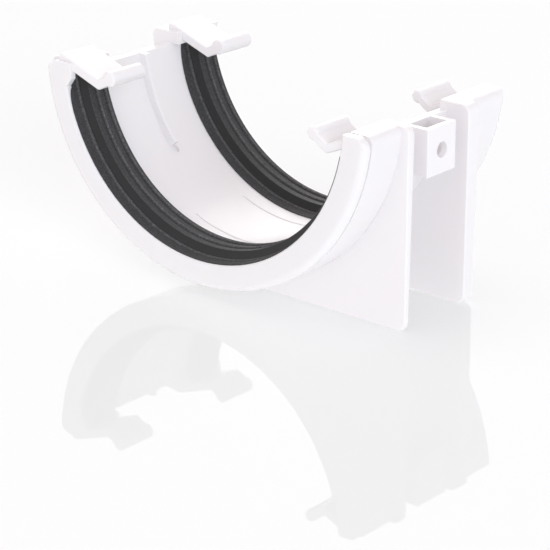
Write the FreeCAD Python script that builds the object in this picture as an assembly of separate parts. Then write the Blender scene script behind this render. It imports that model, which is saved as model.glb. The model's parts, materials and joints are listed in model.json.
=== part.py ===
import FreeCAD, Part
import math
import os

from FreeCAD import Vector

# Union bracket for half-round gutter, in millimetres.
# The trough's axis runs along Y. The wall that carries the bracket is on the +X side.
# The bracket stands on the flat lower edges of its two webs, at Z = 0.
# Shapes are drawn about the trough's axis, with Y = 0 midway between the webs. When they are
# saved they are moved, so that the origin is the middle of the bracket's base.

# Gutter and seals
gutter_radius = 56.0
seal_proud = 3.6
seal_width = 13.4
seal_side_play = 0.15
seal_end_play = 0.5
seal_flange_drop = 3.1
seal_ridge_at = 2.3
seal_ridge_drop = 2.8
seal_ridge_width = 1.0
seal_fin_start = 4.2
seal_fin_count = 3
seal_first_fin_drop = 0.3
seal_fin_back_drop = 0.45
seal_groove = 1.1
seal_groove_drop = 0.9
seal_heel = 1.4
seal_heel_drop = 0.2
seal_skirt = 1.7
seal_skirt_edge = 0.4
near_skirt_end_angle = 12.0
far_skirt_end_angle = 18.0

# Trough and sockets
trough_wall = 2.8
seal_bed_depth = 4.0
socket_wall = 5.0
middle_length = 34.4
near_end_lip = 2.2
far_end_lip = 2.55
near_inner_lip = 2.6
far_inner_lip = 4.45
rim_round = 2.3
rim_steps = 3
rim_groove_width = 0.8
rim_groove_depth = 0.7
rim_groove_back = 0.6
rim_inner_chamfer = 0.4
rim_outer_corner = 6.0
rim_wall_corner = 4.0

# Heights of the upper edges, below the trough's axis
outer_top_drop = 3.4
wall_top_drop = 4.7
trough_top_drop = 7.7
outer_corner_round = 2.6
wall_corner_round = 3.0

# Lugs that close the ends of the seal beds on the outer side
lug_reach = 3.4
lug_height = 5.5
lug_foot = 6.2

# Spring clip on the outer side
outer_clip_plate = 3.3
outer_clip_root_out = 1.9
outer_clip_root_drop = 2.9
outer_clip_valley_in = 14.9
outer_clip_valley_drop = 8.9
outer_clip_bead_in = 19.9
outer_clip_bead_drop = 6.2
outer_clip_bead = 5.2
outer_clip_length = 15.2

# Spring clip on the wall side
wall_clip_plate = 2.9
wall_clip_root_out = 3.9
wall_clip_root_drop = 6.2
wall_clip_valley_in = 7.2
wall_clip_valley_drop = 10.8
wall_clip_bead_in = 12.6
wall_clip_bead_drop = 7.1
wall_clip_bead = 4.2
wall_clip_length = 16.2
clip_overrun = 1.2
clip_edge_bevel = 0.4

# Webs that reach back to the wall
base_gap = 3.1
fascia_reach = 2.2
web_spacing = 28.0
near_web = 3.2
far_web = 6.0
web_draft = 1.2
web_toe = 6.0
web_toe_run = 3.4
web_foot_round = 3.0
web_edge_round = 0.5

# Boxed fixing tab, with the way through for its screw
tab_width = 14.6
tab_height = 15.7
tab_plate = 2.2
tab_side_wall = 2.0
tab_edge_round = 0.5
screw_hole = 5.2
screw_drop = 7.8
driver_hole = 8.4

# Stop rib between the two gutter ends
stop_rib_width = 2.0
stop_rib_height = 3.0
stop_rib_offset = 1.6
stop_rib_end_angle = 40.5
stop_recess = 2.6
stop_recess_depth = 1.2

# Places that follow from the sizes
trough_radius = gutter_radius + seal_proud
trough_outer_radius = trough_radius + trough_wall
bed_radius = trough_radius + seal_bed_depth
socket_radius = bed_radius + socket_wall
axis_height = socket_radius + base_gap
fascia_x = socket_radius + fascia_reach
socket_start = middle_length / 2
near_bed_start = socket_start + near_inner_lip
near_bed_end = near_bed_start + seal_width
near_end = near_bed_end + near_end_lip
far_bed_start = socket_start + far_inner_lip
far_bed_end = far_bed_start + seal_width
far_end = far_bed_end + far_end_lip
clip_reach = near_bed_end + clip_overrun
flange_back = near_end - rim_round - rim_groove_back
groove_back = flange_back - rim_groove_width
outer_x = math.sqrt(socket_radius ** 2 - (outer_top_drop + outer_corner_round) ** 2)
base_middle = Vector((fascia_x - outer_x) / 2, (far_end - near_end) / 2, -axis_height)
beyond = 2 * socket_radius


def line(p, q):
    """A straight edge between two points in the plane z = 0."""
    return Part.LineSegment(Vector(p[0], p[1], 0), Vector(q[0], q[1], 0)).toShape()


def prism(points, y0, y1):
    """Extrude a polygon given as (x, z) pairs from y0 to y1."""
    wire = Part.makePolygon([Vector(x, y0, z) for x, z in points + points[:1]])
    return Part.Face(wire).extrude(Vector(0, y1 - y0, 0))


def rounded_prism(points, radii, y0, y1):
    """Extrude a polygon of (x, z) pairs whose corners have the given radii."""
    edges = []
    ends = []
    count = len(points)
    for i in range(count):
        corner = Vector(points[i][0], y0, points[i][1])
        before = Vector(points[i - 1][0], y0, points[i - 1][1])
        after = Vector(points[(i + 1) % count][0], y0, points[(i + 1) % count][1])
        if radii[i] <= 0:
            ends.append((corner, None, corner))
            continue
        to_before = (before - corner).normalize()
        to_after = (after - corner).normalize()
        half = to_before.getAngle(to_after) / 2
        setback = radii[i] / math.tan(half)
        bisector = (to_before + to_after).normalize()
        middle = corner + bisector * (radii[i] / math.sin(half) - radii[i])
        ends.append((corner + to_before * setback, middle, corner + to_after * setback))
    for i in range(count):
        start, middle, stop = ends[i]
        if middle is not None:
            edges.append(Part.Arc(start, middle, stop).toShape())
        edges.append(Part.LineSegment(stop, ends[(i + 1) % count][0]).toShape())
    return Part.Face(Part.Wire(edges)).extrude(Vector(0, y1 - y0, 0))


def bar(a, b, thickness, y0, y1):
    """Extrude a strip with round ends that runs from a to b, both (x, z)."""
    start = Vector(a[0], y0, a[1])
    stop = Vector(b[0], y0, b[1])
    along = (stop - start).normalize()
    half = thickness / 2
    side = along.cross(Vector(0, 1, 0)) * half
    edges = [
        Part.LineSegment(start + side, stop + side).toShape(),
        Part.Arc(stop + side, stop + along * half, stop - side).toShape(),
        Part.LineSegment(stop - side, start - side).toShape(),
        Part.Arc(start - side, start - along * half, start + side).toShape(),
    ]
    return Part.Face(Part.Wire(edges)).extrude(Vector(0, y1 - y0, 0))


def rod(x, z, diameter, y0, y1):
    """A round bar along Y."""
    return Part.makeCylinder(diameter / 2, y1 - y0, Vector(x, y0, z), Vector(0, 1, 0))


def edges_where(shape, wanted):
    """The edges of a shape whose ends and middle all pass a test."""
    edges = []
    for edge in shape.Edges:
        points = [vertex.Point for vertex in edge.Vertexes]
        points.append(edge.valueAt((edge.FirstParameter + edge.LastParameter) / 2))
        if all(wanted(point) for point in points):
            edges.append(edge)
    return edges


def turned(edges, start_angle, end_angle):
    """Turn a section, drawn at z = 0, about Y. Angles go from +X down to -X."""
    face = Part.Face(Part.Wire(edges))
    face.rotate(Vector(0, 0, 0), Vector(0, 1, 0), start_angle)
    return face.revolve(Vector(0, 0, 0), Vector(0, 1, 0), end_angle - start_angle)


def ring(r0, r1, y0, y1, start_angle, end_angle):
    """A band of rectangular section round the trough's axis."""
    corners = [(r0, y0), (r1, y0), (r1, y1), (r0, y1), (r0, y0)]
    edges = [line(p, q) for p, q in zip(corners, corners[1:])]
    return turned(edges, start_angle, end_angle)


def rim_edges(sign, end):
    """Section of one end, from the inner face round the outer edge to the socket's shoulder."""
    rim_y = end - rim_round
    rim_r = socket_radius - rim_round
    outline = [(trough_radius, sign * (end - rim_inner_chamfer))]
    outline.append((trough_radius + rim_inner_chamfer, sign * end))
    for step in range(rim_steps + 1):
        turn = math.pi / 2 * step / rim_steps
        r = rim_r + rim_round * math.sin(turn)
        y = rim_y + rim_round * math.cos(turn)
        outline.append((r, sign * y))
    if sign < 0:
        groove_radius = socket_radius - rim_groove_depth
        outline.append((socket_radius, -flange_back))
        outline.append((groove_radius, -flange_back))
        outline.append((groove_radius, -groove_back))
        outline.append((socket_radius, -groove_back))
    outline.append((socket_radius, sign * socket_start))
    outline.append((trough_outer_radius, sign * socket_start))
    return [line(p, q) for p, q in zip(outline, outline[1:])]


def trough_section():
    """Section of the trough's wall, with a thicker socket at each end."""
    edges = rim_edges(-1, near_end) + rim_edges(1, far_end)
    edges.append(line((trough_outer_radius, -socket_start), (trough_outer_radius, socket_start)))
    inner_near = rim_inner_chamfer - near_end
    inner_far = far_end - rim_inner_chamfer
    edges.append(line((trough_radius, inner_near), (trough_radius, inner_far)))
    return Part.__sortEdges__(edges)


def clip_line(side):
    """Root, valley and bead centres of a clip, with its plate, bead and length."""
    if side < 0:
        xs = (outer_clip_root_out, -outer_clip_valley_in, -outer_clip_bead_in)
        drops = (outer_clip_root_drop, outer_clip_valley_drop, outer_clip_bead_drop)
        sizes = (outer_clip_plate, outer_clip_bead, outer_clip_length)
    else:
        xs = (wall_clip_root_out, -wall_clip_valley_in, -wall_clip_bead_in)
        drops = (wall_clip_root_drop, wall_clip_valley_drop, wall_clip_bead_drop)
        sizes = (wall_clip_plate, wall_clip_bead, wall_clip_length)
    points = [(side * (trough_radius + x), -drop) for x, drop in zip(xs, drops)]
    return points, sizes


def clip(side, end):
    """A sloping plate, a turned-up leg and a bead along the leg's edge."""
    (root, valley, bead), (plate, bead_size, length) = clip_line(side)
    y0, y1 = sorted((end * clip_reach, end * (clip_reach - length)))
    leg = bar(valley, bead, plate, y0, y1)
    edge_bead = rod(bead[0], bead[1], bead_size, y0, y1)
    shape = bar(root, valley, plate, y0, y1).fuse([leg, edge_bead]).removeSplitter()
    inset = clip_edge_bevel / 2
    rims = edges_where(shape, lambda point: not y0 + inset < point.y < y1 - inset)
    return shape.makeChamfer(clip_edge_bevel, rims)


def seal_end_angle(side):
    """Angle below the horizontal at which a seal ends, under the clip's plate."""
    (root, valley, bead), (plate, bead_size, length) = clip_line(side)
    slope = (valley[1] - root[1]) / (valley[0] - root[0])
    below = plate / 2 * math.sqrt(1 + slope * slope)
    underside = root[1] + slope * (side * gutter_radius - root[0]) - below
    return math.degrees(math.asin((seal_end_play - underside) / gutter_radius))


def seal_span():
    """First and last angle of the seals, from the wall side to the outer side."""
    return seal_end_angle(1), 180 - seal_end_angle(-1)


def web(y_near, thickness):
    """A flat plate from the trough back to the wall, drafted on its +Y face."""
    foot = -axis_height
    top = -wall_top_drop
    y_far = y_near + thickness
    outline = [
        (-web_toe - web_toe_run, -trough_outer_radius),
        (-web_toe, foot),
        (fascia_x, foot),
        (fascia_x, top),
        (0, top),
    ]
    plate = rounded_prism(outline, [0, 0, web_foot_round, wall_corner_round, 0], y_near, y_far)
    wedge = [
        Vector(-socket_radius, y_far, top),
        Vector(-socket_radius, y_far, foot),
        Vector(-socket_radius, y_far - web_draft, foot),
        Vector(-socket_radius, y_far, top),
    ]
    slope = Part.Face(Part.makePolygon(wedge)).extrude(Vector(2 * beyond, 0, 0))
    plate = plate.cut(slope)
    middle = y_near + (thickness - web_draft) / 2
    rims = edges_where(plate, lambda point: point.y < middle)
    rims += edges_where(plate, lambda point: point.y > middle)
    plate = plate.makeFillet(web_edge_round, rims)
    return plate.cut(rod(0, 0, 2 * trough_radius, -beyond, beyond))


def fixing_tab():
    """A plate in the plane of the wall, held off the trough by two side walls."""
    top = -trough_top_drop
    bottom = top - tab_height
    half = tab_width / 2
    inside = half - tab_side_wall
    back = fascia_x - tab_plate
    box = prism([(0, bottom), (fascia_x, bottom), (fascia_x, top), (0, top)], -half, half)
    box = box.makeFillet(tab_edge_round, edges_where(box, lambda point: point.x > back))
    pocket = prism([(0, -beyond), (back, -beyond), (back, beyond), (0, beyond)], -inside, inside)
    return box.cut(pocket).cut(rod(0, 0, trough_radius + trough_outer_radius, -beyond, beyond))


def screw_way():
    """The screw's hole in the tab and the wider one before it in the trough's wall."""
    z = -trough_top_drop - screw_drop
    back = fascia_x - tab_plate
    hole = Part.makeCylinder(screw_hole / 2, fascia_x, Vector(0, 0, z), Vector(1, 0, 0))
    access = Part.makeCylinder(driver_hole / 2, back, Vector(0, 0, z), Vector(1, 0, 0))
    return hole.fuse(access)


def top_cut(side, drop, corner_round, y0, y1, inset=0):
    """The space above an upper edge, with the edge's outer corner rounded off."""
    level = -drop - inset
    shoulder = level - corner_round
    outer = side * math.sqrt((socket_radius - inset) ** 2 - shoulder ** 2)
    far = side * beyond
    middle = side * gutter_radius / 2
    corners = [(middle, -beyond), (outer, -beyond), (outer, level), (middle, level)]
    keep = rounded_prism(corners, [0, 0, corner_round, 0], y0, y1)
    above = prism([(middle, shoulder), (far, shoulder), (far, beyond), (middle, beyond)], y0, y1)
    return above.cut(keep)


def flange_cut(side, drop, corner_round):
    """What rounds the near flange's upper corner and carries the groove over it."""
    front = top_cut(side, drop, corner_round, -beyond, -flange_back)
    groove = top_cut(side, drop, corner_round, -flange_back, -groove_back, rim_groove_depth)
    return front.fuse(groove)


def lug(y0, y1, low, foot):
    """A block at the top of a lip that closes the end of a seal bed."""
    inner = -(trough_radius - lug_reach)
    outer = -(trough_radius + trough_wall / 2)
    top = -outer_top_drop
    return prism([(inner, top), (inner, low), (outer, low - foot), (outer, top)], y0, y1)


def stop_rib():
    """The rib that the two gutter ends stop against."""
    y0 = stop_rib_offset - stop_rib_width / 2
    outer = trough_radius + trough_wall / 2
    inner = trough_radius - stop_rib_height
    first = 180 - stop_rib_end_angle
    return ring(inner, outer, y0, y0 + stop_rib_width, first, 180)


def stop_recess_tool():
    """A round pin that leaves the small recess at the rib's lower end."""
    angle = math.radians(stop_rib_end_angle) + stop_recess / 2 / trough_radius
    inward = Vector(math.cos(angle), 0, math.sin(angle))
    y = stop_rib_offset + stop_rib_width / 2
    seat = Vector(0, y, 0) - inward * (trough_radius + stop_recess_depth)
    return Part.makeCylinder(stop_recess / 2, stop_rib_height, seat, inward)


def bracket_body():
    """The moulded body as one solid."""
    body = turned(trough_section(), 0, 180).fuse(stop_rib())
    for y0, y1 in ((-beyond, -socket_start), (socket_start, beyond)):
        body = body.cut(top_cut(-1, outer_top_drop, outer_corner_round, y0, y1))
        body = body.cut(top_cut(1, wall_top_drop, wall_corner_round, y0, y1))
    body = body.cut(flange_cut(-1, outer_top_drop, rim_outer_corner))
    body = body.cut(flange_cut(1, wall_top_drop, rim_wall_corner))
    level = -trough_top_drop
    corners = [(-beyond, level), (beyond, level), (beyond, beyond), (-beyond, beyond)]
    body = body.cut(prism(corners, -socket_start, socket_start))
    first, last = seal_span()
    low = -outer_top_drop - lug_height
    near_plate = web(-web_spacing / 2 - near_web, near_web)
    far_plate = web(web_spacing / 2, far_web)
    body = body.fuse([near_plate, far_plate, fixing_tab()])
    pieces = []
    near_side = (-1, near_bed_start, near_bed_end, near_end)
    far_side = (1, far_bed_start, far_bed_end, far_end)
    for sign, bed_start, bed_end, end in (near_side, far_side):
        bed = sorted((sign * bed_start, sign * bed_end))
        rim = sorted((sign * bed_end, sign * end))
        shoulder = sorted((sign * socket_start, sign * bed_start))
        body = body.cut(ring(gutter_radius / 2, bed_radius, bed[0], bed[1], first, last))
        pieces.append(lug(rim[0], rim[1], low, lug_foot))
        pieces.append(lug(shoulder[0], shoulder[1], level, 0))
        pieces.append(clip(-1, sign))
        pieces.append(clip(1, sign))
    body = body.fuse(pieces).cut(stop_recess_tool()).cut(screw_way())
    return body.removeSplitter().Solids[0]


def seal_strip():
    """A rubber strip turned round the trough: flange, low ridge, and fins with steep fronts."""
    width = seal_width - 2 * seal_side_play
    flange = gutter_radius + seal_flange_drop
    pitch = (width - seal_fin_start - seal_heel) / (seal_fin_count - 1)
    points = [
        (bed_radius, 0),
        (flange, 0),
        (flange, seal_ridge_at - seal_ridge_width / 2),
        (gutter_radius + seal_ridge_drop, seal_ridge_at),
        (flange, seal_ridge_at + seal_ridge_width / 2),
        (gutter_radius + seal_first_fin_drop, seal_fin_start),
    ]
    for fin in range(1, seal_fin_count):
        t = seal_fin_start + fin * pitch
        points.append((gutter_radius + seal_fin_back_drop, t - seal_groove))
        points.append((gutter_radius + seal_groove_drop, t - seal_groove / 2))
        points.append((gutter_radius, t))
    points.append((gutter_radius + seal_heel_drop, width))
    points.append((bed_radius, width))
    edges = [line(p, q) for p, q in zip(points, points[1:] + points[:1])]
    return turned(edges, *seal_span())


def seal(y0, skirt_end_angle):
    """A seal with a thin skirt in front of it, which lies on the trough's inner face."""
    flange = gutter_radius + seal_flange_drop
    thin = trough_radius - seal_skirt_edge
    points = [(trough_radius, 0), (trough_radius, -seal_skirt), (thin, -seal_skirt), (flange, 0)]
    edges = [line(p, q) for p, q in zip(points, points[1:] + points[:1])]
    skirt = turned(edges, seal_span()[0], 180 - skirt_end_angle)
    shape = seal_strip().fuse(skirt).removeSplitter().Solids[0]
    shape.translate(Vector(0, y0, 0))
    return shape


def write(name, shape):
    """Move a piece into the bracket's frame and save it."""
    shape.translate(-base_middle)
    shape.exportStep(os.path.join("parts", name + ".step"))
    print(name, shape.ShapeType, len(shape.Solids), shape.isValid(), round(shape.Volume, 1), shape.BoundBox)


os.makedirs("parts", exist_ok=True)
write("bracket_body", bracket_body())
write("near_seal", seal(seal_side_play - near_bed_end, near_skirt_end_angle))
write("far_seal", seal(far_bed_start + seal_side_play, far_skirt_end_angle))
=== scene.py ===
# %% [markdown]
# A union bracket joins two lengths of half-round gutter. It is one moulding of white PVC with
# a black rubber seal near each end. This lesson dresses the finished CAD model: it keeps every
# size, softens the moulded edges, gives the seals their fine ribs and sets up the studio.

import json
import math

import bmesh
import bpy
import numpy as np
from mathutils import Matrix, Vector


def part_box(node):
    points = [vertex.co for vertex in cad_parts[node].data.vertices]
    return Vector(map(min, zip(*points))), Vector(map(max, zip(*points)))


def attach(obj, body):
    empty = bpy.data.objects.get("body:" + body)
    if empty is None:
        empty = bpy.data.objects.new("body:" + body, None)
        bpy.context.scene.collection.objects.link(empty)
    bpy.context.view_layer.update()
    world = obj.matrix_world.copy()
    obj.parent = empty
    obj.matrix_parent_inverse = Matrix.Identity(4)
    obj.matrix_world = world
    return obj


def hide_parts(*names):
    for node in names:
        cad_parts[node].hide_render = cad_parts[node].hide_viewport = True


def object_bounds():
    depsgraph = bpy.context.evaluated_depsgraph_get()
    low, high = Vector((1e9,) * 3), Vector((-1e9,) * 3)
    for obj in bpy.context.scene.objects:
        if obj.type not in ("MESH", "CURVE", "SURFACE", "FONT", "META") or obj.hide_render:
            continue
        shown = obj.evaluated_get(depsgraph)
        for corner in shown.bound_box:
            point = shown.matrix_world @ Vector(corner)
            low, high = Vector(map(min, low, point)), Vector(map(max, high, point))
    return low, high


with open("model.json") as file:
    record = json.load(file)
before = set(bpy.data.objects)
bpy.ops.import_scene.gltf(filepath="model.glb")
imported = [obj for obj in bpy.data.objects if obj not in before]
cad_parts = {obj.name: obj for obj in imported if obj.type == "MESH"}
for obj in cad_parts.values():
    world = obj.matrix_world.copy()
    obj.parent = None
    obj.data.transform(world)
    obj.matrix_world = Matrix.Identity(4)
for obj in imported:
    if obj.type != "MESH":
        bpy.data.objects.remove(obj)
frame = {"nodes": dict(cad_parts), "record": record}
cad_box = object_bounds()
MM = 0.001
BODY = "root"
print("nodes", sorted(frame["nodes"]), "box", [tuple(corner) for corner in cad_box])

# %% [markdown]
# Everything round on the bracket shares one axis, the trough's. It could be fitted to the mesh,
# but the record keeps it exactly, with the place where a gutter's end goes in. So the axis and
# the gutter's radius are read from there.

# %% The trough's axis
mounts = {mount["name"]: mount for mount in frame["record"]["mounts"]}
axis_x = mounts["near_gutter"]["pos_m"][0]
axis_z = mounts["near_gutter"]["pos_m"][2]
gutter_radius = mounts["near_gutter"]["dims"]["r_mm"] * MM
print("axis at x %.4f z %.4f, gutter radius %.4f" % (axis_x, axis_z, gutter_radius))

# %% [markdown]
# A finish is a small net of shader nodes. Each node could be placed and linked by hand, but
# written as Python arithmetic the net stays readable. So one class wraps a socket: adding or
# multiplying two of them adds a Math node, and one method makes every other kind of node.


# %% Shader arithmetic
class Wire:
    """An output socket in a node tree. Arithmetic on it adds Math nodes."""

    def __init__(self, tree, socket=None):
        self.tree = tree
        self.socket = socket

    def node(self, kind, settings=None, inputs=None, output=0):
        """Add a node, apply its settings, fill or link its sockets and return one output."""
        made = self.tree.nodes.new(kind)
        for name, value in (settings or {}).items():
            setattr(made, name, value)
        for name, value in (inputs or {}).items():
            if isinstance(value, Wire):
                self.tree.links.new(value.socket, made.inputs[name])
            else:
                made.inputs[name].default_value = value
        return Wire(self.tree, made.outputs[output])

    def math(self, operation, first, second):
        """Add a Math node on two values, wires or numbers."""
        return self.node("ShaderNodeMath", {"operation": operation}, {0: first, 1: second})

    def __add__(self, other):
        return self.math("ADD", self, other)

    def __sub__(self, other):
        return self.math("SUBTRACT", self, other)

    def __rsub__(self, other):
        return self.math("SUBTRACT", other, self)

    def __mul__(self, other):
        return self.math("MULTIPLY", self, other)

    __radd__ = __add__
    __rmul__ = __mul__

    def over(self, low, high):
        """0 where the value is below low, 1 above high, and an even slope between."""
        inputs = {"Value": self, "From Min": low, "From Max": high}
        return self.node("ShaderNodeMapRange", {"clamp": True}, inputs)

    def blend(self, first, second):
        """Mix two colours, with this value as the share of the second."""
        inputs = {0: self, 6: first, 7: second}
        return self.node("ShaderNodeMix", {"data_type": "RGBA"}, inputs, 2)


print("made the class", Wire.__name__)

# %% [markdown]
# Every finish here begins with an empty net and ends at an output node. The moulded and the
# rubber finishes also share one kind of shader and one kind of noise. The noise reads Object
# coordinates: a picture would have to be wrapped round the piece, but this keeps its scale.


# %% Starting and ending a finish
def empty_net(owner):
    """Clear the node tree of a material or a world and return a wire to start from."""
    owner.use_nodes = True
    owner.node_tree.nodes.clear()
    return Wire(owner.node_tree)


def end_net(look, kind="ShaderNodeOutputMaterial"):
    """Link a finished look to an output node of the given kind."""
    out = look.tree.nodes.new(kind)
    look.tree.links.new(look.socket, out.inputs["Surface"])


def new_finish(name):
    """A material, a wire to start from and the material's Principled shader."""
    material = bpy.data.materials.new(name)
    start = empty_net(material)
    shader = start.tree.nodes.new("ShaderNodeBsdfPrincipled")
    end_net(Wire(start.tree, shader.outputs["BSDF"]))
    return material, start, shader


def feed(wire, shader, socket):
    """Link a wire to one of the shader's sockets."""
    wire.tree.links.new(wire.socket, shader.inputs[socket])


def noise(start, scale, detail):
    """Noise in Object coordinates, with its scale in waves to the metre."""
    place = start.node("ShaderNodeTexCoord", output="Object")
    return start.node("ShaderNodeTexNoise", inputs={"Vector": place, "Scale": scale, "Detail": detail})


print("made the helpers", empty_net.__name__, end_net.__name__, new_finish.__name__, noise.__name__)

# %% [markdown]
# Moulded PVC is a clean, slightly warm white with a soft gloss. The mould leaves a very fine
# waviness that shows only in reflections, and the gloss is a little uneven where the plastic
# flowed. Light also goes a little way in and comes out again, which softens the shading. One
# function makes the finish, so that a thin piece can have it with less of that depth.

# %% White PVC
PVC_BRIGHT = (0.93, 0.9, 0.91, 1.0)
PVC_DULL = (0.922, 0.892, 0.902, 1.0)
PVC_ROUGHNESS, FLOW_ROUGHNESS = 0.22, 0.06
WAVE_HEIGHT, WAVE_STRENGTH = 0.03 * MM, 0.12
LIGHT_DEPTH = 1.6 * MM


def white_pvc(name, depth_share):
    """White moulded plastic: faint cloudy colour, uneven gloss, fine waviness, and a share of
    light that goes a little way into the walls."""
    material, start, shader = new_finish(name)
    cloud = noise(start, scale=30.0, detail=1.0)
    flow = noise(start, scale=120.0, detail=2.0)
    peel = noise(start, scale=900.0, detail=2.0)
    feed(cloud.over(0.25, 0.75).blend(PVC_BRIGHT, PVC_DULL), shader, "Base Color")
    feed(PVC_ROUGHNESS + flow * FLOW_ROUGHNESS, shader, "Roughness")
    waves = {"Strength": WAVE_STRENGTH, "Distance": WAVE_HEIGHT, "Height": peel}
    feed(start.node("ShaderNodeBump", inputs=waves), shader, "Normal")
    shader.inputs["IOR"].default_value = 1.5
    shader.inputs["Subsurface Weight"].default_value = depth_share
    shader.inputs["Subsurface Radius"].default_value = (1.0, 0.95, 0.9)
    shader.inputs["Subsurface Scale"].default_value = LIGHT_DEPTH
    return material


pvc = white_pvc("white_pvc", depth_share=0.5)
print("made", pvc.name)

# %% [markdown]
# The CAD model has the body's true form. A moulded part has no razor edges, though. Rounding
# them all in the CAD model would be slow, so a copy of its mesh gets a narrow bevel on every
# sharp edge and smooth shading elsewhere. The copy's loose triangles are merged first, because
# a bevel needs neighbours that share edges.

# %% The moulded body
WELD = 0.002 * MM
SHARP_ANGLE = math.radians(33)
EDGE_BEVEL = 0.3 * MM


def merged_copy(node, name):
    """The node's triangles as one joined surface, smooth but for its sharp edges."""
    mesh = node.data.copy()
    mesh.name = name
    net = bmesh.new()
    net.from_mesh(mesh)
    bmesh.ops.remove_doubles(net, verts=net.verts, dist=WELD)
    bmesh.ops.dissolve_degenerate(net, edges=net.edges, dist=WELD)
    net.to_mesh(mesh)
    net.free()
    if "custom_normal" in mesh.attributes:
        mesh.attributes.remove(mesh.attributes["custom_normal"])
    mesh.polygons.foreach_set("use_smooth", np.ones(len(mesh.polygons), dtype=bool))
    mesh.set_sharp_from_angle(angle=SHARP_ANGLE)
    piece = bpy.data.objects.new(name, mesh)
    bpy.context.scene.collection.objects.link(piece)
    return piece


def soften_edges(piece):
    """A narrow bevel on the sharp edges, with normals that keep the flat faces flat."""
    bevel = piece.modifiers.new("soft_edges", "BEVEL")
    bevel.width = EDGE_BEVEL
    bevel.segments = 2
    bevel.limit_method = "ANGLE"
    bevel.angle_limit = SHARP_ANGLE
    bevel.use_clamp_overlap = True
    weighted = piece.modifiers.new("flat_faces", "WEIGHTED_NORMAL")
    weighted.keep_sharp = True


def dress(piece, material, slot, *nodes):
    """Give a piece its finish, put it on the body and hide the nodes that it stands for."""
    piece.data.materials.clear()
    piece.data.materials.append(material)
    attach(piece, BODY)
    if nodes:
        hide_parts(*nodes)


moulding = merged_copy(frame["nodes"]["bracket_body"], "moulding")
soften_edges(moulding)
dress(moulding, pvc, "white_pvc", "bracket_body")
print("moulding", len(moulding.data.vertices), "points", len(moulding.data.polygons), "faces")

# %% [markdown]
# Seal rubber is black. Its steep wall and its grooves are smooth and dark, with a low sheen. The
# flange, the ridge and the fins have a fine grain that scatters light and looks greyer. The ridge
# and the fins' crests are paler still, and that is a painted highlight: more grey where they
# would catch the light. Each band could have a material of its own, but the share of grain and
# painted highlight is kept on each seal's points as an attribute, so that one finish follows the
# section.

# %% Black rubber
RUBBER_SMOOTH = (0.022, 0.022, 0.023, 1.0)
# The grey at the highest share is a painted highlight on the ridge and the fins' crests; lower shares
# give the real grain.
RUBBER_GRAIN_AND_HIGHLIGHT = (0.235, 0.23, 0.238, 1.0)
RUBBER_ROUGHNESS, GRAIN_ROUGHNESS, DUST_ROUGHNESS = 0.25, 0.5, 0.06
PIT_DEPTH, PIT_STRENGTH = 0.1 * MM, 0.7
# The attribute holds each point's share of real grain and of painted highlight.
GRAIN_AND_HIGHLIGHT = "grain_and_highlight"


def black_rubber():
    """Black rubber: smooth and dark where the share is 0, rough and greyer as it grows. The
    share is real graininess on the flange and heel, and a painted highlight where it is highest,
    on the ridge and the fins' crests. The greyer colour is broken up by soft dust and fine
    specks, and the specks are pitted."""
    material, start, shader = new_finish("black_rubber")
    share = start.node("ShaderNodeAttribute", {"attribute_name": GRAIN_AND_HIGHLIGHT}, output="Fac")
    dust = noise(start, scale=180.0, detail=4.0)
    speck = noise(start, scale=1500.0, detail=3.0)
    grey = share * (0.5 + dust * 0.4) * (0.3 + 0.7 * speck.over(0.3, 0.7))
    feed(grey.blend(RUBBER_SMOOTH, RUBBER_GRAIN_AND_HIGHLIGHT), shader, "Base Color")
    rough = share.over(0.0, 0.4)
    feed(RUBBER_ROUGHNESS + rough * GRAIN_ROUGHNESS + dust * DUST_ROUGHNESS, shader, "Roughness")
    pits = {"Strength": PIT_STRENGTH, "Distance": PIT_DEPTH, "Height": speck * rough}
    feed(start.node("ShaderNodeBump", inputs=pits), shader, "Normal")
    shader.inputs["IOR"].default_value = 1.35
    return material


rubber = black_rubber()
print("made", rubber.name)

# %% [markdown]
# A seal has the same section all the way round. Seen across its width it has a flat flange with
# a low ridge, then a steep wall up to the first of three fins that press on the gutter, with a
# groove before each of the other two. A curve drawn by hand would give it too, but a chain of
# straight slopes keeps each size in sight, and a short running mean rounds its corners.

# %% The seals' section
SKIRT = 1.7 * MM
FLANGE_DROP, RIDGE_DROP = 3.1 * MM, 2.75 * MM
RIDGE_FOOT, RIDGE_FRONT, RIDGE_BACK, RIDGE_END = 1.6 * MM, 1.9 * MM, 2.7 * MM, 2.85 * MM
FIN_START, FIRST_FIN_DROP, HEEL, HEEL_DROP = 4.2 * MM, 0.3 * MM, 1.4 * MM, 0.2 * MM
FIRST_CREST_START, FIRST_CREST_END, FIRST_CREST_FADE = 0.15 * MM, 0.4 * MM, 0.6 * MM
BACK_DROP, GROOVE, GROOVE_DROP = 0.45 * MM, 1.1 * MM, 0.9 * MM
CREST_END, CREST_FADE, CREST_FALL = 0.25 * MM, 0.4 * MM, 0.02 * MM
FLANGE_GRAIN = 0.35
SECTION_POINTS = 170
ROUNDING, MEAN_REACH, MEAN_STEPS = 0.08 * MM, 4, 8


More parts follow.
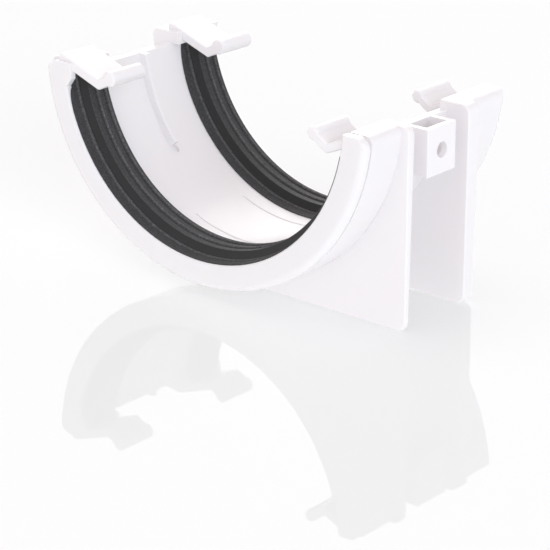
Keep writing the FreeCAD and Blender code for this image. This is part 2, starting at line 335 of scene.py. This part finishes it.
def seal_stops(width):
    """Corners of a seal's upper side, drop counted outwards from the gutter's radius."""
    second = (FIN_START + width - HEEL) / 2
    third = width - HEEL
    # Each row is the place across, the drop and the share of grain and painted highlight
    rows = [
        (0.0, FLANGE_DROP, FLANGE_GRAIN), (RIDGE_FOOT, FLANGE_DROP, FLANGE_GRAIN),
        # The ridge's high share is a painted highlight: paler grey where it would catch the light.
        (RIDGE_FRONT, RIDGE_DROP, 0.8), (RIDGE_BACK, RIDGE_DROP, 0.9),
        (RIDGE_END, FLANGE_DROP, 0.1), (FIN_START, FIRST_FIN_DROP, 0.0),
        # The first fin's crest also gets a painted highlight.
        (FIN_START + FIRST_CREST_START, FIRST_FIN_DROP, 0.5),
        (FIN_START + FIRST_CREST_END, FIRST_FIN_DROP, 0.5),
        (FIN_START + FIRST_CREST_FADE, FIRST_FIN_DROP, 0.3),
    ]
    for fin in (second, third):
        rows.append((fin - GROOVE, BACK_DROP, 0.35))
        rows.append((fin - GROOVE / 2, GROOVE_DROP, 0.1))
        # A full share at each crest, fading behind it, is a painted highlight.
        rows.append((fin, 0.0, 1.0))
        rows.append((fin + CREST_END, 0.0, 0.9))
        rows.append((fin + CREST_FADE, CREST_FALL, 0.45))
    rows.append((width, HEEL_DROP, 0.5))
    return np.array(rows)


def seal_section(width, depth):
    """Closed section of a seal as (across, drop) pairs, with the share of grained grey and
    painted highlight at each.

    Straight slopes join the stops; a Gaussian mean over them rounds the corners; the base
    closes the loop at the bed's depth.
    """
    stops = seal_stops(width)
    across = np.linspace(0.0, width, SECTION_POINTS)
    reach = MEAN_REACH * ROUNDING
    fine = np.linspace(-reach, width + reach, MEAN_STEPS * SECTION_POINTS)
    height = np.interp(fine, stops[:, 0], stops[:, 1])
    weight = np.exp(-0.5 * ((across[:, None] - fine[None, :]) / ROUNDING) ** 2)
    drop = (weight @ height) / weight.sum(axis=1)
    base = np.array([(width, depth), (0.0, depth)])
    section = np.vstack([np.column_stack([across, drop]), base])
    return section, np.interp(section[:, 0], stops[:, 0], stops[:, 2])


sections = {}
for node_name in ("near_seal", "far_seal"):
    low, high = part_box(node_name)
    width = high.y - (low.y + SKIRT)
    sections[node_name] = seal_section(width, axis_z - low.z - gutter_radius)
    print(node_name, "section %.2f mm wide" % (width / MM))

# %% [markdown]
# What follows the trough on this bracket is a small section carried round its axis: the seals,
# their skirts and the moulded lines. A Screw modifier could do that. A grid of points, worked
# out as whole arrays, also lets the width change on the way and closes the ends.

# %% Carrying a section round the trough
ROUND_POINTS = 280
CREASE_ANGLE = math.radians(50)


def node_angles(node):
    """First and last angle of a node round the trough's axis, from +X down to -X."""
    points = np.empty(len(node.data.vertices) * 3, dtype=np.float32)
    node.data.vertices.foreach_get("co", points)
    points = points.reshape(-1, 3)
    angle = np.arctan2(axis_z - points[:, 2], points[:, 0] - axis_x)
    return float(angle.min()), float(angle.max())


def swept_ring(section, y0, first, last, share=1.0):
    """Carry a closed section round the axis: at angle a the point lies at radius gutter + drop,
    so x = axis + radius cos a, y = y0 + across, z = axis - radius sin a. Both ends are capped.
    A share below 1 at an angle draws the section in towards its back edge there."""
    angle = np.linspace(first, last, ROUND_POINTS)[:, None]
    radius = gutter_radius + section[None, :, 1]
    x = axis_x + radius * np.cos(angle)
    back = section[:, 0].max()
    shares = np.broadcast_to(share, ROUND_POINTS)[:, None]
    y = y0 + back + (section[None, :, 0] - back) * shares
    z = axis_z - radius * np.sin(angle)
    points = np.stack([x, y, z], axis=-1).reshape(-1, 3)
    count = section.shape[0]
    row = np.arange(ROUND_POINTS - 1)[:, None] * count
    here = np.arange(count)[None, :]
    after = (here + 1) % count
    quads = np.stack([row + here, row + count + here, row + count + after, row + after], axis=-1)
    faces = quads.reshape(-1, 4).tolist()
    faces.append(list(range(count)))
    faces.append(list(range((ROUND_POINTS - 1) * count, ROUND_POINTS * count))[::-1])
    return points, faces


def mesh_piece(name, points, faces):
    """A new object at the origin from points and faces, with smooth shading and sharp edges."""
    mesh = bpy.data.meshes.new(name)
    mesh.from_pydata(points.tolist(), [], faces)
    mesh.polygons.foreach_set("use_smooth", np.ones(len(mesh.polygons), dtype=bool))
    mesh.set_sharp_from_angle(angle=CREASE_ANGLE)
    mesh.update()
    piece = bpy.data.objects.new(name, mesh)
    bpy.context.scene.collection.objects.link(piece)
    return piece


angles = {node_name: node_angles(frame["nodes"][node_name]) for node_name in sections}
for node_name, reach in angles.items():
    print(node_name, "goes from %.1f to %.1f degrees" % tuple(np.degrees(reach)))

# %% [markdown]
# Each seal lies in a bed in its socket, from one clip round to the other. The CAD model has it
# with plain corners. The carried section takes its place, its width and its angles from that
# node, so it fills the same bed, and its many narrow faces show the ribs as soft rubber.


# %% The seals
def add_grain_and_highlight(piece, shares):
    """Keep a share of grained grey and painted highlight on each point, the same row of
    shares at every angle.
    """
    kept = piece.data.attributes.new(GRAIN_AND_HIGHLIGHT, "FLOAT", "POINT")
    kept.data.foreach_set("value", np.tile(shares, ROUND_POINTS).astype(np.float32))


for node_name, (section, grain_and_highlight) in sections.items():
    first, last = angles[node_name]
    points, faces = swept_ring(section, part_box(node_name)[0].y + SKIRT, first, last)
    seal = mesh_piece(node_name + "_rubber", points, faces)
    add_grain_and_highlight(seal, grain_and_highlight)
    dress(seal, rubber, "black_rubber", node_name)
    print(seal.name, len(faces), "faces")

# %% [markdown]
# Each seal has a thin skirt in front, which lies on the trough's face so that the gutter
# can't catch the rubber when it slides in. It is one more small section carried round. On the
# outer side its free edge curves back into the seal. A cut would leave a step there, so the
# section narrows along a quarter of an ellipse.

# %% The seals' skirts
TROUGH_DROP = 3.6 * MM
SKIRT_EDGE = 0.4 * MM
SKIRT_POINTS = 12
SKIRT_CURVES = {"near_seal": (160.0, 168.0), "far_seal": (152.0, 172.0)}
CURVE_END = 0.998


def skirt_section():
    """A thin wedge: flat on the trough, its face rising from the front edge to the seal's flange."""
    rise = np.linspace(0.0, 1.0, SKIRT_POINTS)
    across = SKIRT * rise
    drop = TROUGH_DROP - SKIRT_EDGE + (FLANGE_DROP - TROUGH_DROP + SKIRT_EDGE) * rise
    base = np.array([(SKIRT, TROUGH_DROP), (0.0, TROUGH_DROP)])
    return np.vstack([np.column_stack([across, drop]), base])


def curved_end(first, start, end):
    """Share of the skirt's width at each angle: 1 as far as the start, then a quarter ellipse,
    which stops just short of nothing so that the last faces keep a width."""
    angle = np.linspace(first, end, ROUND_POINTS)
    along = np.clip((angle - start) / (end - start), 0.0, CURVE_END)
    return np.sqrt(1.0 - along ** 2)


for node_name, curve in SKIRT_CURVES.items():
    section = skirt_section()
    first = angles[node_name][0]
    start, end = math.radians(curve[0]), math.radians(curve[1])
    shares = curved_end(first, start, end)
    points, faces = swept_ring(section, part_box(node_name)[0].y, first, end, shares)
    skirt = mesh_piece(node_name + "_skirt", points, faces)
    add_grain_and_highlight(skirt, np.full(len(section), FLANGE_GRAIN))
    dress(skirt, rubber, "black_rubber")

# %% [markdown]
# Two thin raised lines on the trough's floor show how far a gutter's end goes in. They are a
# hair high. Bumps in the shader could suggest them, but real ribs, carried round the same axis,
# also hold up from the side. Light that went into so thin a piece would be lost below it, so
# their finish leaves that share out.

# %% Insertion lines
LINE_HALF_WIDTH = 0.32 * MM
LINE_HEIGHT = 0.2 * MM
LINE_SINK = 0.15 * MM
LINE_POINTS = 9
LINE_HALF_ANGLE = math.radians(22.5)
LINES_APART = 24.3 * MM


def line_section():
    """Half an ellipse above the trough's face, closed by a flat base sunk into the wall."""
    turn = np.linspace(0.0, math.pi, LINE_POINTS)
    across = -LINE_HALF_WIDTH * np.cos(turn)
    drop = TROUGH_DROP - LINE_HEIGHT * np.sin(turn)
    sunk = TROUGH_DROP + LINE_SINK
    base = np.array([(LINE_HALF_WIDTH, sunk), (-LINE_HALF_WIDTH, sunk)])
    return np.vstack([np.column_stack([across, drop]), base])


line_pvc = white_pvc("white_pvc_line", depth_share=0.0)
for line_name, line_y in (("near_line", -LINES_APART / 2), ("far_line", LINES_APART / 2)):
    first, last = math.pi / 2 - LINE_HALF_ANGLE, math.pi / 2 + LINE_HALF_ANGLE
    points, faces = swept_ring(line_section(), line_y, first, last)
    line = mesh_piece(line_name, points, faces)
    dress(line, line_pvc, "white_pvc")
    print(line.name, "at y %.4f" % line_y)

# %% [markdown]
# The bracket stands on a glossy white board, as product photographs often have it. A shader
# whose gloss grows at low angles would mirror too much. So the board is mostly plain white that
# takes a soft shadow, with a small steady share of sharp reflection for the faint mirror image,
# and a share of plain glow that keeps the white even to the edges.

# %% The board
BOARD_WHITE = (0.978, 0.997, 0.992, 1.0)
PURE_WHITE = (1.0, 1.0, 1.0, 1.0)
MIRROR_SHARE = 0.048
GLOW_SEEN = 0.15
GLOW_AS_LIGHT = 0.6
BOARD_HALF = 3.0
BOARD_GAP = 0.3 * MM


def seen_rays(start):
    """1 for a ray from the camera or a reflection or through glass, 0 for a ray of light."""
    kinds = ("Is Camera Ray", "Is Glossy Ray", "Is Transmission Ray")
    camera, glossy, through = [start.node("ShaderNodeLightPath", output=kind) for kind in kinds]
    return camera + glossy + through


def glossy_board():
    """A white board: plain diffuse with a constant share of sharp reflection, and a share of
    plain white, as if the board were lit from behind."""
    material = bpy.data.materials.new("glossy_board")
    start = empty_net(material)
    plain = start.node("ShaderNodeBsdfDiffuse", inputs={"Color": BOARD_WHITE})
    mirror = start.node("ShaderNodeBsdfGlossy", inputs={"Color": PURE_WHITE, "Roughness": 0.0})
    both = start.node("ShaderNodeMixShader", inputs={0: MIRROR_SHARE, 1: plain, 2: mirror})
    glow = start.node("ShaderNodeEmission", inputs={"Color": PURE_WHITE, "Strength": 1.0})
    seen = seen_rays(start)
    share = seen * GLOW_SEEN + (1 - seen) * GLOW_AS_LIGHT
    end_net(start.node("ShaderNodeMixShader", inputs={0: share, 1: both, 2: glow}))
    return material


corners = np.array([(-1, -1, 0), (1, -1, 0), (1, 1, 0), (-1, 1, 0)]) * BOARD_HALF
corners[:, 2] = cad_box[0].z - BOARD_GAP
board = mesh_piece("board", corners, [[0, 1, 2, 3]])
board.data.materials.append(glossy_board())
print("board at", corners[0, 2])

# %% [markdown]
# Soft light from all round, as in a light tent, comes from the world. Area lamps would have to
# be many to be as even. Three broad suns add a little direction: a warm one from the left, high
# up, a cool one from the right, low down, and a weak one from the front.

# %% Studio light
AMBIENT = 0.71
WORLD_COLOUR = (1.0, 0.955, 0.965, 1.0)


def light_tent():
    """World of even white: strength 1 to the eye and in reflections, a little less as light."""
    world = bpy.data.worlds.new("light_tent")
    bpy.context.scene.world = world
    start = empty_net(world)
    seen = seen_rays(start)
    strength = seen + (1 - seen) * AMBIENT
    tent = start.node("ShaderNodeBackground", inputs={"Color": WORLD_COLOUR, "Strength": strength})
    end_net(tent, "ShaderNodeOutputWorld")


def towards(azimuth, elevation):
    """Unit vector to an azimuth, counted from -Y round to +X, and an elevation, in degrees."""
    a, e = math.radians(azimuth), math.radians(elevation)
    return Vector((math.sin(a) * math.cos(e), -math.cos(a) * math.cos(e), math.sin(e)))


def broad_sun(name, azimuth, elevation, energy, colour, angle):
    """A sun whose light comes from the given azimuth and elevation, in degrees. Reflections
    leave it out, so the glossy board shows no round lamp."""
    lamp = bpy.data.lights.new(name, "SUN")
    lamp.energy = energy
    lamp.color = colour
    lamp.angle = math.radians(angle)
    holder = bpy.data.objects.new(name, lamp)
    holder.visible_glossy = False
    bpy.context.scene.collection.objects.link(holder)
    holder.rotation_mode = "QUATERNION"
    holder.rotation_quaternion = towards(azimuth, elevation).to_track_quat("Z", "Y")


light_tent()
broad_sun("left_sun", azimuth=-70.0, elevation=72.0, energy=0.34, colour=(1.0, 0.97, 0.95), angle=60.0)
broad_sun("right_sun", azimuth=60.0, elevation=14.0, energy=1.0, colour=(0.77, 0.9, 1.0), angle=36.0)
broad_sun("front_sun", azimuth=-5.0, elevation=25.0, energy=0.08, colour=(1.0, 0.9, 0.92), angle=40.0)
bpy.context.scene.view_settings.view_transform = "Standard"

# %% [markdown]
# A lit card behind the set is brighter than the bracket, so on the board the bracket's mirror
# image stands out grey from the card's. A brighter world would do that too, but it would light
# the whole bracket. The card shows in reflections only.

# %% Backdrop card
CARD_STRENGTH = 3.5
CARD_BACK = 1.0
CARD_HALF = 0.7
CARD_HEIGHT = 1.0
VIEW_AZIMUTH = 40.481


def backdrop_card():
    """An upright card across the line of sight, behind the bracket."""
    foot = np.array(towards(VIEW_AZIMUTH, 0.0)) * -CARD_BACK
    half = np.array(towards(VIEW_AZIMUTH + 90.0, 0.0)) * CARD_HALF
    rise = np.array([0.0, 0.0, CARD_HEIGHT])
    points = np.array([foot - half, foot + half, foot + half + rise, foot - half + rise])
    return mesh_piece("backdrop_card", points, [[0, 1, 2, 3]])


def lit_card():
    """A plain white glow, the same all over the card."""
    material = bpy.data.materials.new("lit_card")
    light = {"Color": PURE_WHITE, "Strength": CARD_STRENGTH}
    end_net(empty_net(material).node("ShaderNodeEmission", inputs=light))
    return material


card = backdrop_card()
card.data.materials.append(lit_card())
card.visible_camera = False
card.visible_diffuse = False
card.visible_shadow = False
print("card", card.name)

# %% [markdown]
# The camera looks from where the photograph was taken: to the right of the near end and a
# little above it, with a long lens. Its place is an azimuth, an elevation and a distance from
# its aim, which say more than three coordinates would.

# %% Camera
VIEW_ELEVATION = 20.975
CAMERA_DISTANCE = 744.46 * MM
CAMERA_AIM = Vector((1.04, -0.515, -2.685)) * MM
SENSOR = 36.0
LENS = 144.0


def studio_camera():
    """A level camera on a sphere round its aim."""
    lens = bpy.data.cameras.new("studio_camera")
    lens.sensor_width = SENSOR
    lens.lens = LENS
    lens.clip_start = 10 * MM
    camera = bpy.data.objects.new("studio_camera", lens)
    bpy.context.scene.collection.objects.link(camera)
    back = towards(VIEW_AZIMUTH, VIEW_ELEVATION)
    camera.location = CAMERA_AIM + back * CAMERA_DISTANCE
    camera.rotation_mode = "QUATERNION"
    camera.rotation_quaternion = (-back).to_track_quat("-Z", "Y")
    bpy.context.scene.camera = camera
    return camera


camera = studio_camera()
print("camera at", tuple(camera.location))
